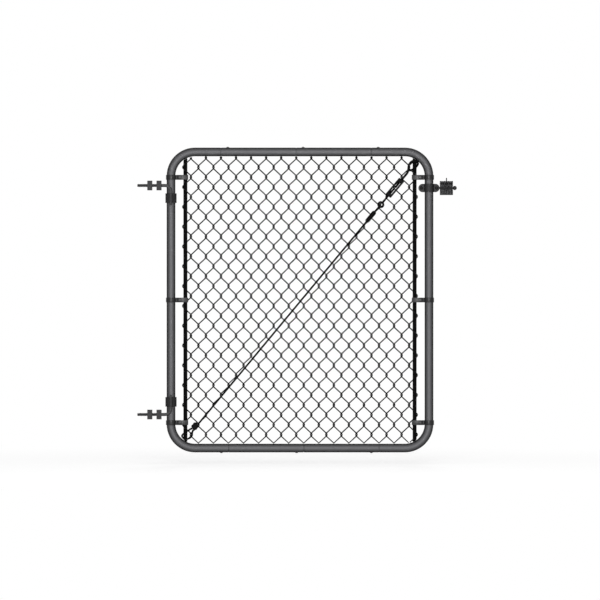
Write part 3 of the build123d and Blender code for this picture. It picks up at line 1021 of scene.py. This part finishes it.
@dataclass
class TensionBars(SubAssembly):
    """Flat bars, the bands that hold them to the stiles, and the bands' carriage bolts."""

    bar_width: float = 15.9
    bar_thick: float = 4.8
    bar_corner: float = 2.5
    bar_soft: float = 0.6
    end_gap: float = 0.3
    levels: tuple[float, ...] = (490.5, 0.0, -490.5)
    band_height: float = 19.0
    band_thick: float = 2.7
    band_gap: float = 0.15
    leaf: tuple[Pair, ...] = (
        (68.4, 8.6), (57.0, 10.8), (45.0, 12.1), (34.0, 11.2), (27.0, 9.2), (21.6, 7.3),
    )
    pinch: float = radians(33.5)
    bolt_inset: float = 35.0
    leaf_out: float = 12.7
    bolt: ThroughBolt = ThroughBolt(
        ((0, 0.5), (0.08, 3.0), (0.3, 5.2), (0.65, 6.8), (1.0, 7.6), (1.6, 7.6)),
        head_out=1.5, reach=9.5, plain=18.0, washer_r=7.6, flats=11.6,
    )

    def bar(self, hand: int) -> Shape:
        """A flat bar whose ends are cut to the curve of the frame's bends.

        Args:
            hand: -1 beside the hinges and 1 beside the latch.

        Returns:
            Its shape.
        """
        room = CORNER_RADIUS - TUBE_R - self.end_gap
        corner = self.bar_corner
        upper = []
        for step in range(7):
            across = BAR_X + self.bar_width * (0.5 - step / 6)
            reach = across - STILE_X + CORNER_RADIUS
            upper.append((across, RAIL_Z - CORNER_RADIUS + sqrt(room**2 - reach**2)))
        (x, up), (last_x, last_up) = upper[0], upper[-1]
        upper[:1] = [(x, up - corner), (x - corner * 0.35, up - corner * 0.2)]
        upper[-1:] = [(last_x + corner * 0.35, last_up - corner * 0.55), (last_x, last_up - corner)]
        outline = upper + [(across, -up) for across, up in reversed(upper)]
        if hand < 0:
            outline = [(-across, up) for across, up in reversed(outline)]
        shape = Shape()
        face = Plane(leaf_point(0, 0, -self.bar_thick / 2), RIGHT, UP)
        shape.plate(face, outline, self.bar_thick, self.bar_soft)
        return shape

    def band(self, hand: int, up: float) -> Shape:
        """A strap round a stile with two bowed leaves that reach over the bar.

        Args:
            hand: -1 at the hinges and 1 at the latch.
            up: its height.

        Returns:
            Its shape.
        """
        radius = TUBE_R + self.band_gap + self.band_thick / 2
        turns = [self.pinch + (2 * pi - 2 * self.pinch) * step / 48 for step in range(49)]
        ring = [Vector((radius * cos(turn), radius * sin(turn), 0)) for turn in turns]
        leaf = [Vector((*place, 0)) for place in self.leaf]
        front = through([*leaf, ring[0]], leaf[1] - leaf[0], ring[1] - ring[0], 2.0)
        back = [Vector((point.x, -point.y, 0)) for point in reversed(front)]
        line = front + ring[1:-1] + back
        shape = Shape()
        path = [leaf_point(hand * (STILE_X - point.x), up, point.y) for point in line]
        shape.strap(path, self.band_height, self.band_thick)
        return shape

    def build(self) -> None:
        """Builds the bars and bands and sets the bolts."""
        dressing = Body.LEAF, Slot.BLACK_STEEL
        for side, hand in (("hinge", -1), ("latch", 1)):
            stands_for = [f"tension_bar_{side}"]
            self.place(f"flat_bar_{side}", self.bar(hand), BAR_COAT, *dressing, stands_for)
            for place, up in zip(("upper", "middle", "lower"), self.levels):
                end = f"{side}_{place}"
                stands_for = [f"tension_band_{end}"]
                self.place(f"band_{end}", self.band(hand, up), BAND_COAT, *dressing, stands_for)
                bolt = self.bolt.shape(hand * (STILE_X - self.bolt_inset), up, self.leaf_out)
                self.place(f"band_bolt_{end}", bolt, BAND_COAT, *dressing)


@dataclass
class Hinges(SubAssembly):
    """Bent hinge bolts with their blocks, and the clamps that join them to the leaf."""

    rod_r: float = 6.35
    rod_pitch: float = 2.0
    rod_step: float = 0.34
    plain_step: float = 3.0
    rod_tip: tuple[float, ...] = (2.2, 1.2, 0.6, 0.2, 0.0)
    bend: float = 24.0
    tip_x: float = -77.0
    pin_x: float = 56.5
    leg: float = 78.0
    spread: float = 914.4
    thread_end: float = 96.0
    clamp_drop: float = 50.0
    ear_y: float = 62.4
    ear_half: float = 7.3
    bolt_r: float = 3.95
    bolt_ends: Pair = (2.0, 10.5)
    bolt_plain: float = 10.0
    bolt_cap: tuple[Pair, ...] = ((1.5, 2.6), (6.1, 2.6), (6.3, 2.2))
    washer_r: float = 8.4
    washer_thick: float = 1.4
    flats: float = 12.7

    def rod(self, up: float, turn: int) -> Shape:
        """A threaded rod, bent so that its leg points up or down.

        Args:
            up: the height of its level part.
            turn: 1 where the leg points up and -1 where it points down.

        Returns:
            Its shape.
        """
        start, stop = (Vector((x, 0, up)) for x in (self.tip_x, self.tip_x + self.thread_end))
        path = run(start, stop, self.rod_step)
        path += run(path[-1], Vector((self.pin_x - self.bend, 0, up)), self.plain_step)[1:]
        centre = Vector((self.pin_x - self.bend, 0, up + turn * self.bend))
        for step in range(1, 17):
            angle = pi / 2 * step / 16
            path.append(centre + Vector((sin(angle), 0, -turn * cos(angle))) * self.bend)
        end = Vector((self.pin_x, 0, up + turn * self.leg))
        path += run(path[-1], end, self.plain_step)[1:-2]
        path += [end - UP * turn * step for step in self.rod_tip]
        shape = Shape()
        shape.thread(path, self.rod_r, self.rod_pitch, [(1.0, self.thread_end)])
        return shape

    def clamp_bolt(self, up: float) -> Shape:
        """The bolt that draws the two ears of a hinge clamp together.

        Args:
            up: its height.

        Returns:
            Its shape.
        """
        left, right = (Vector((self.pin_x + x, self.ear_y, up)) for x in (-self.ear_half, self.ear_half))
        shape = Shape()
        shank = run(left - RIGHT * self.bolt_ends[0], right + RIGHT * self.bolt_ends[1], BOLT_STEP)
        shape.thread(shank, self.bolt_r, BOLT_PITCH, [(self.bolt_plain, TO_THE_TIP)])
        for face, axis, height, hole in ((left, -RIGHT, 5.2, 1.2), (right, RIGHT, 5.6, 3.9)):
            shape.washer(face, axis, self.washer_r, self.washer_thick)
            shape.nut(face + axis * self.washer_thick, axis, self.flats, height, hole)
        shape.turned(left, -RIGHT, self.bolt_cap)
        return shape

    def build(self) -> None:
        """Builds the rods and bolts and dresses blocks and clamps."""
        self.dress(("hinge_block", "hinge_clamp"), HARDWARE_COAT)
        for place, up, turn in (("upper", self.spread, -1), ("lower", 0.0, 1)):
            rod, stands_for = self.rod(up, turn), [f"hinge_bolt_{place}"]
            self.place(f"hinge_rod_{place}", rod, PIN_COAT, Body.POST, Slot.PIN_STEEL, stands_for)
            bolt = self.clamp_bolt(up + turn * self.clamp_drop)
            self.place(f"clamp_bolt_{place}", bolt, BOLT_COAT, Body.LEAF, Slot.BLACK_STEEL)


@dataclass
class Latch(SubAssembly):
    """Latch plates and strike on the leaf, housing and catch on the post."""

    rise: float = 448.0
    bolt_x: float = 30.8
    plate_out: float = 6.0
    housing_start: float = 44.0
    back_face: float = 15.0
    rib_r: float = 2.1
    rib_half: float = 26.0
    rib_places: tuple[float, ...] = (7.4, 12.6, 21.4, 30.2, 38.4, 43.6)
    bolt: ThroughBolt = ThroughBolt(
        ((0, 0.5), (0.1, 3.4), (0.5, 5.2), (1.4, 6.2), (2.6, 6.6), (3.6, 6.6)),
        head_out=3.6, reach=9.0, plain=8.0, washer_r=7.4, flats=11.0,
    )

    def ribs(self) -> Shape:
        """Half-round ribs pressed into the housing's back plate.

        Returns:
            Their shape.
        """
        shape, half = Shape(), self.rib_half
        outline = rounded_box(2 * self.rib_r, 1.6 * self.rib_r, 0.75 * self.rib_r)
        for across in self.rib_places:
            middle = leaf_point(STILE_X + self.housing_start + across, self.rise, -self.back_face)
            rings = []
            for up, size in ((-half, 0.6), (1 - half, 1.0), (half - 1, 1.0), (half, 0.6)):
                rings.append([middle + Vector((x * size, y * size, up)) for x, y in outline])
            shape.skin(rings)
        return shape

    def build(self) -> None:
        """Dresses the latch and sets its bolts."""
        # The ribs take the lighter frame coat instead of the housing's dark coat, so they show as lighter
        # stripes: painted highlight on real ribs.
        self.place("latch_housing_ribs", self.ribs(), POWDER_COAT, Body.POST, Slot.LATCH_STEEL)
        self.dress(("latch_plate", "latch_housing", "latch_strike", "latch_catch"), LATCH_COAT)
        self.dress(("latch_pivot_pin",), BOLT_COAT)
        for side, x in (("inner", -self.bolt_x), ("outer", self.bolt_x)):
            bolt = self.bolt.shape(STILE_X + x, self.rise, self.plate_out)
            self.place(f"latch_bolt_{side}", bolt, BOLT_COAT, Body.LEAF, Slot.LATCH_STEEL)


@dataclass
class Truss(SubAssembly):
    """The stranded cable pulled tight across the leaf, its clip, ferrule and turnbuckle."""

    angle: float = radians(50.0348)
    foot: Pair = (-432.2375, -520.0375)
    length: float = 1338.0
    front: float = 16.0
    cable_r: float = 3.8
    strand: float = 3.9
    cable_step: float = 1.5
    lay: float = 38.0
    loop_end: float = 8.0
    tail_end: float = 38.0
    ferrule_start: float = 1087.0
    ferrule_length: float = 52.0
    ferrule_side: Triple = (7.0, 2.0, 0.6)
    ferrule_depth: Triple = (8.2, 1.0, 0.3)
    ferrule_edge: float = 5.0
    crimp_edge: float = 8.0
    crimp_start: float = 6.5
    crimp_pitch: float = 9.75
    eye_s: float = 1175.8
    eye_r: float = 9.8
    eye_wire_r: float = 4.4
    shank_r: float = 4.3
    shank_reach: float = 41.5
    thread_pitch: float = 1.6
    thread_step: float = 0.27
    body_start: float = 1220.6
    body_length: float = 85.4
    body_width: float = 26.4
    body_thick: float = 11.0
    side_bar: float = 7.8
    end_block: float = 14.5
    clip_s: float = 21.0
    clip_pitch: float = 12.5
    clip_length: float = 25.0
    clip_ribs: tuple[float, ...] = (-7.8, -2.6, 2.6, 7.8)
    clip_rib: Triple = (2.2, 9.0, 1.6)
    clip_nut: Pair = (7.0, 3.6)
    bow_r: float = 2.1
    bow_thread: float = 9.0
    saddle: float = 4.5
    seat: float = 0.2
    cable_loop: tuple[Triple, ...] = (
        (-28.0, -63.0, 18.5), (-26.5, -50.0, 17.5), (-15.5, -39.5, 15.5), (1.5, -36.5, 11.8),
        (13.4, -48.0, 1.5), (4.0, -60.0, -11.0), (-11.0, -69.5, -11.2), (-21.0, -76.5, 1.0),
    )
    hook_curve: tuple[Triple, ...] = (
        (-25.2, -69.0, 16.0), (-23.9, -57.0, 15.9), (-18.8, -45.5, 15.5), (-8.0, -37.0, 14.2),
        (4.8, -36.5, 11.0), (13.2, -46.0, 0.5), (6.0, -59.0, -11.6), (-7.0, -70.0, -11.8),
        (-24.0, -73.3, -11.8),
    )

    def point(self, along: float, front: float, side: float = 0.0) -> Vector:
        """A point given along the truss line.

        Args:
            along: its distance from the line's foot.
            front: its distance from the leaf's middle plane toward the viewer.
            side: its distance from the line toward the upper left.

        Returns:
            The model's point.
        """
        across = self.foot[0] + along * cos(self.angle) - side * sin(self.angle)
        up = self.foot[1] + along * sin(self.angle) + side * cos(self.angle)
        return leaf_point(across, up, front)

    def at_bar(self, hand: int, places: Sequence[Triple]) -> list[Vector]:
        """Points given from where a bar's line meets a rail's; hand picks the corner."""
        return [leaf_point(hand * (BAR_X + x), hand * (RAIL_Z + up), front) for x, up, front in places]

    @property
    def along(self) -> Vector:
        """The direction of the truss line."""
        return (self.point(1, 0) - self.point(0, 0)).normalized()

    @property
    def across(self) -> Vector:
        """The direction square to the truss line, toward the upper left."""
        return (self.point(0, 0, 1) - self.point(0, 0)).normalized()

    @property
    def high(self) -> float:
        """How far the strands near the viewer stand from the leaf's middle plane."""
        return self.front + self.strand

    def cable_line(self) -> list[Vector]:
        """The centre line of the cable, from the ferrule round the eye and the lower loop.

        Returns:
            The line's points.
        """
        low, high, along = self.front - self.strand, self.high, self.along
        ring = self.eye_s - self.eye_r
        wide = self.eye_wire_r + self.cable_r + self.seat
        start, end = self.ferrule_start - 4, self.ferrule_start + self.ferrule_length + 2
        line = run(self.point(start, low), self.point(end, low), self.cable_step)
        line += through([line[-1], self.point(ring, self.front - wide)], along, along)[1:]
        for step in range(1, 13):
            angle = -pi / 2 + pi * step / 12
            line.append(self.point(ring + wide * cos(angle), self.front + wide * sin(angle)))
        line += through([line[-1], self.point(end, high)], -along, -along)[1:]
        for place, side in ((start, 0.0), (self.tail_end, -self.strand), (self.loop_end, -self.strand)):
            line += run(line[-1], self.point(place, high, side), self.cable_step)[1:]
        loop = [line[-1], *self.at_bar(-1, self.cable_loop), self.point(self.loop_end, high, self.strand)]
        line += through(loop, -along, along)[1:]
        tail = self.point(self.tail_end, high, self.strand)
        return line + run(line[-1], tail, self.cable_step)[1:]

    def cable(self) -> Shape:
        """The cable as six strands laid round a core.

        Returns:
            Its shape.
        """

        def section(distance: float, angle: float) -> float:
            """The outline of the six strands, turned by the lay."""
            turn = angle - 2 * pi * distance / self.lay
            return self.cable_r * (0.87 + 0.13 * abs(cos(3 * turn)) ** 0.6)

        shape = Shape()
        shape.sweep(self.cable_line(), section, 24)
        return shape

    def ferrule(self) -> Shape:
        """The swaged sleeve over both strands, drawn in at its ends and crimped four times.

        Returns:
            Its shape.
        """
        rings = []
        for step in range(53):
            along = self.ferrule_length * step / 52
            edge = min(along, self.ferrule_length - along)
            swell = min(1.0, edge / self.ferrule_edge)
            swell *= swell * (3 - 2 * swell)
            wave = cos(2 * pi * (along - self.crimp_start) / self.crimp_pitch)
            crimp = max(0.0, wave) ** 6 if edge > self.crimp_edge else 0.0
            half_side, half_front = (
                end + bulge * swell - dent * crimp
                for end, bulge, dent in (self.ferrule_side, self.ferrule_depth)
            )
            ovals = ((half_front * sin(angle), half_side * cos(angle)) for angle in angles(32))
            place = self.ferrule_start + along
            rings.append([self.point(place, self.front + depth, side) for depth, side in ovals])
        shape = Shape()
        shape.skin(rings)
        return shape

    def eye(self) -> Shape:
        """The turnbuckle's eye bolt with a threaded shank.

        Returns:
            Its shape.
        """
        centre, wire = self.point(self.eye_s, self.front), self.eye_wire_r
        rings = []
        for angle in angles(40):
            spoke = self.along * cos(angle) - self.across * sin(angle)
            circle = ((wire * cos(turn), wire * sin(turn)) for turn in angles(14))
            rings.append([centre + spoke * (self.eye_r + out) + BACK * back for out, back in circle])
        shape = Shape()
        shape.skin(rings, closed=True)
        start = self.point(self.eye_s + self.eye_r + 1, self.front)
        end = self.point(self.body_start + self.shank_reach, self.front)
        shank = run(start, end, self.thread_step)
        shape.thread(shank, self.shank_r, self.thread_pitch, [(14.0, TO_THE_TIP)])
        return shape

    def body(self) -> Shape:
        """The turnbuckle's body: two side bars between end blocks.

        Returns:
            Its shape.
        """
        shape = Shape()
        face = self.front - self.body_thick / 2
        block, length, middle = self.end_block, self.body_length, self.body_start + self.body_length / 2
        for start in (self.body_start + block / 2, self.body_start + length - block / 2):
            plane = Plane(self.point(start, face), self.along, self.across)
            shape.slab(plane, block, self.body_width, self.body_thick)
        for side in ((self.side_bar - self.body_width) / 2, (self.body_width - self.side_bar) / 2):
            plane = Plane(self.point(middle, face + 0.4, side), self.along, self.across)
            shape.slab(plane, length - block, self.side_bar, self.body_thick - 0.8)
        return shape

    def hook(self) -> Shape:
        """The turnbuckle's hook, threaded at one end and bent round the bar at the other.

        Returns:
            Its shape.
        """
        body_end = self.body_start + self.body_length
        start, stop = (self.point(body_end + s, self.front) for s in (-self.shank_reach, 8))
        line = run(start, stop, self.thread_step)
        bend = self.point(self.length, self.front)
        line += run(line[-1], bend, 2.0)[1:]
        line += through([bend, *self.at_bar(1, self.hook_curve)], self.along, -RIGHT)[1:]
        shape = Shape()
        shape.thread(line, self.shank_r + 0.4, self.thread_pitch, [(1.0, self.shank_reach + 6)])
        return shape

    def clip(self) -> Shape:
        """The wire rope clip: a ribbed saddle, two U-bolts and four nuts.

        Returns:
            Its shape.
        """
        shape, along, across = Shape(), self.along, self.across
        half = self.strand + self.cable_r + self.bow_r
        deep = self.cable_r + self.seat + self.bow_r
        seat = self.high + self.cable_r + self.seat
        tip = seat + self.saddle + 4.6
        for place in (self.clip_s - self.clip_pitch / 2, self.clip_s + self.clip_pitch / 2):
            leg = run(self.point(place, tip, half), self.point(place, self.high, half), 0.3)
            path = list(leg)
            for step in range(1, 16):
                angle = pi * step / 16
                path.append(self.point(place, self.high - deep * sin(angle), half * cos(angle)))
            path += [point - across * 2 * half for point in reversed(leg)]
            total, end = length_of(path), self.bow_thread
            shape.thread(path, self.bow_r, 1.0, [(0.3, end), (total - end, total - 0.3)], 14)
            for side in (-half, half):
                foot = self.point(place, seat + self.saddle, side)
                shape.nut(foot, -BACK, *self.clip_nut, self.bow_r)
        base = self.point(self.clip_s, seat)
        width = 2 * (half + self.bow_r + 0.6)
        shape.slab(Plane(base, along, across), self.clip_length, width, self.saddle)
        for place in self.clip_ribs:
            shape.slab(Plane(base + along * place + BACK * 0.9, along, across), *self.clip_rib)
        return shape

    def build(self) -> None:
        """Builds the cable and its fittings."""
        for name, shape, stands_for, sharp in (
            ("turnbuckle_frame", self.body(), "turnbuckle_body", 35.0),
            ("truss_cable_strands", self.cable(), "truss_cable", 60.0),
            ("cable_sleeve", self.ferrule(), "cable_ferrule", 50.0),
            ("turnbuckle_eye_bolt", self.eye(), "turnbuckle_eye", 35.0),
            ("turnbuckle_hook_bolt", self.hook(), "turnbuckle_hook", 35.0),
            ("cable_clip_parts", self.clip(), "cable_clip", 35.0),
        ):
            self.place(name, shape, CABLE_COAT, Body.LEAF, Slot.CABLE_STEEL, [stands_for], sharp)


@dataclass
class Studio:
    """Plain pale floor, soft light and a straight front camera, sized in metres."""

    floor_z: float = -0.2
    floor_half: float = 9.0
    view_width: float = 2.4
    lens: float = 250.0
    sensor: float = 36.0
    lamps: tuple[tuple[str, Triple, float, float], ...] = (
        ("front_light", (0, -7.0, 0.5), 2.4, 400.0),
        ("top_light", (0, -1.5, 4.5), 3.0, 45.0),
        ("back_light", (0.8, 7.0, 2.4), 3.0, 170.0),
    )
    world_level: float = 0.12
    glow: float = 0.6
    shadow_reach: Pair = (0.9, 2.4)

    def camera(self) -> None:
        """A long lens straight in front of the leaf's centre."""
        data = bpy.data.cameras.new("camera")
        data.sensor_width, data.lens, data.clip_end = self.sensor, self.lens, 200.0
        camera = bpy.data.objects.new("camera", data)
        camera.location = LEAF_CENTRE * MM - BACK * (self.view_width * self.lens / self.sensor)
        camera.rotation_euler = (radians(90), 0, 0)
        bpy.context.scene.collection.objects.link(camera)
        bpy.context.scene.camera = camera

    def world(self) -> None:
        """A white surround for the camera and for reflections, and a low even light elsewhere."""
        world = bpy.data.worlds.new("studio")
        wiring = Wiring.cleared(world)
        low = wiring.get("Background", {"Color": WHITE, "Strength": self.world_level})
        white = wiring.get("Background", {"Color": WHITE, "Strength": 1.0})
        wiring.node("OutputWorld", {"Surface": wiring.blend(wiring.seen(), low, white)})
        bpy.context.scene.world = world

    def floor(self) -> None:
        """A pale floor that shows the gate's soft shadow and meets the white surround."""
        centre = Vector((LEAF_CENTRE.x, 0, self.floor_z / MM))
        half = self.floor_half / MM
        square = ((-half, -half), (half, -half), (half, half), (-half, half))
        corners = [centre + Vector((x, y, 0)) for x, y in square]
        floor = Shape(corners, [(0, 1, 2, 3)]).made("floor")
        paint = bpy.data.materials.new("floor_paint")
        wiring = Wiring.cleared(paint)
        seen = wiring.seen()
        under = {0: wiring.place(), 1: (LEAF_CENTRE.x * MM, 0.0, self.floor_z)}
        away = wiring.get("VectorMath", under, "Value", operation="DISTANCE")
        plain = wiring.times(wiring.eased(away, *self.shadow_reach), seen)
        diffuse = wiring.get("BsdfDiffuse", {"Color": (0.8, 0.8, 0.8, 1.0)})
        glow = wiring.get("Emission", {"Color": WHITE, "Strength": self.glow})
        near = wiring.blend(seen, diffuse, wiring.get("AddShader", {0: diffuse, 1: glow}))
        white = wiring.get("Emission", {"Color": WHITE, "Strength": 1.0})
        wiring.node("OutputMaterial", {"Surface": wiring.blend(plain, near, white)})
        floor.data.materials.append(paint)

    def lamp(self, name: str, offset: Triple, size: float, power: float) -> None:
        """One square soft light that faces the leaf's centre.

        Args:
            name: its name.
            offset: where it stands, from the leaf's centre.
            size: the length of its side.
            power: its power in watts.
        """
        data = bpy.data.lights.new(name, "AREA")
        data.shape, data.size, data.energy = "SQUARE", size, power
        lamp = bpy.data.objects.new(name, data)
        lamp.location = LEAF_CENTRE * MM + Vector(offset)
        lamp.rotation_euler = (-Vector(offset)).to_track_quat("-Z", "Y").to_euler()
        lamp.visible_camera = False
        bpy.context.scene.collection.objects.link(lamp)

    def build(self) -> None:
        """Sets up the view and the light."""
        self.camera()
        self.world()
        self.floor()
        for lamp in self.lamps:
            self.lamp(*lamp)
        bpy.context.scene.view_settings.view_transform = "Standard"


def main() -> None:
    """Builds every sub-assembly in order and reports its pieces."""
    logging.basicConfig(level=logging.INFO, format="%(message)s")
    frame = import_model()
    Studio().build()
    for kind in (FrameTubes, WovenFabric, TensionBars, Hinges, Latch, Truss):
        assembly = kind(frame["nodes"])
        assembly.build()
        assembly.report()


if __name__ == "__main__":
    main()
